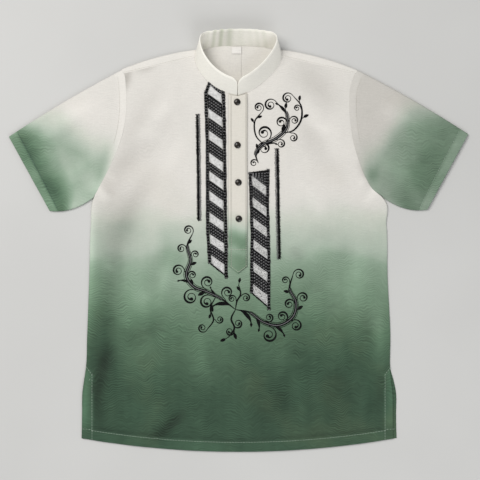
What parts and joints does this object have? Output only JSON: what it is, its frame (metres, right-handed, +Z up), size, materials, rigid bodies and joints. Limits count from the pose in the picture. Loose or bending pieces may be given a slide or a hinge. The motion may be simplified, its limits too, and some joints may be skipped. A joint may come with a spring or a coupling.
{
  "type": "barong tagalog shirt",
  "caption": "Short-sleeved sheer barong shirt with a stand collar and a buttoned half placket, lying flat on its back.",
  "frame": {"origin": "middle of the shirt's outline, on the surface that it lies on", "axes": "+X across the shirt towards the wearer's left sleeve, +Y from hem to collar, +Z up out of the surface"},
  "size_m": [0.8808, 0.81, 0.043],
  "materials": {
    "ivory_organza": "sheer crisp weave, ivory fading to sage green towards the hem",
    "sage_organza": "sheer crisp weave, ivory fading to sage green towards the cuff",
    "collar_organza": "two plies of crisp ivory cloth",
    "label_gauze": "bare translucent gauze",
    "button_resin": "glossy black-brown dome",
    "thread_black": "black embroidery thread",
    "thread_white": "silvery white embroidery thread"
  },
  "bodies": {
    "root": {"back": "ivory_organza", "front": "ivory_organza", "sleeve_right": "sage_organza", "sleeve_left": "sage_organza", "collar_outer": "collar_organza", "collar_inner": "collar_organza", "placket": "ivory_organza", "placket_underlap": "ivory_organza", "button_1": "button_resin", "button_2": "button_resin", "button_3": "button_resin", "button_4": "button_resin", "neck_label": "label_gauze"}
  },
  "joints": []
}
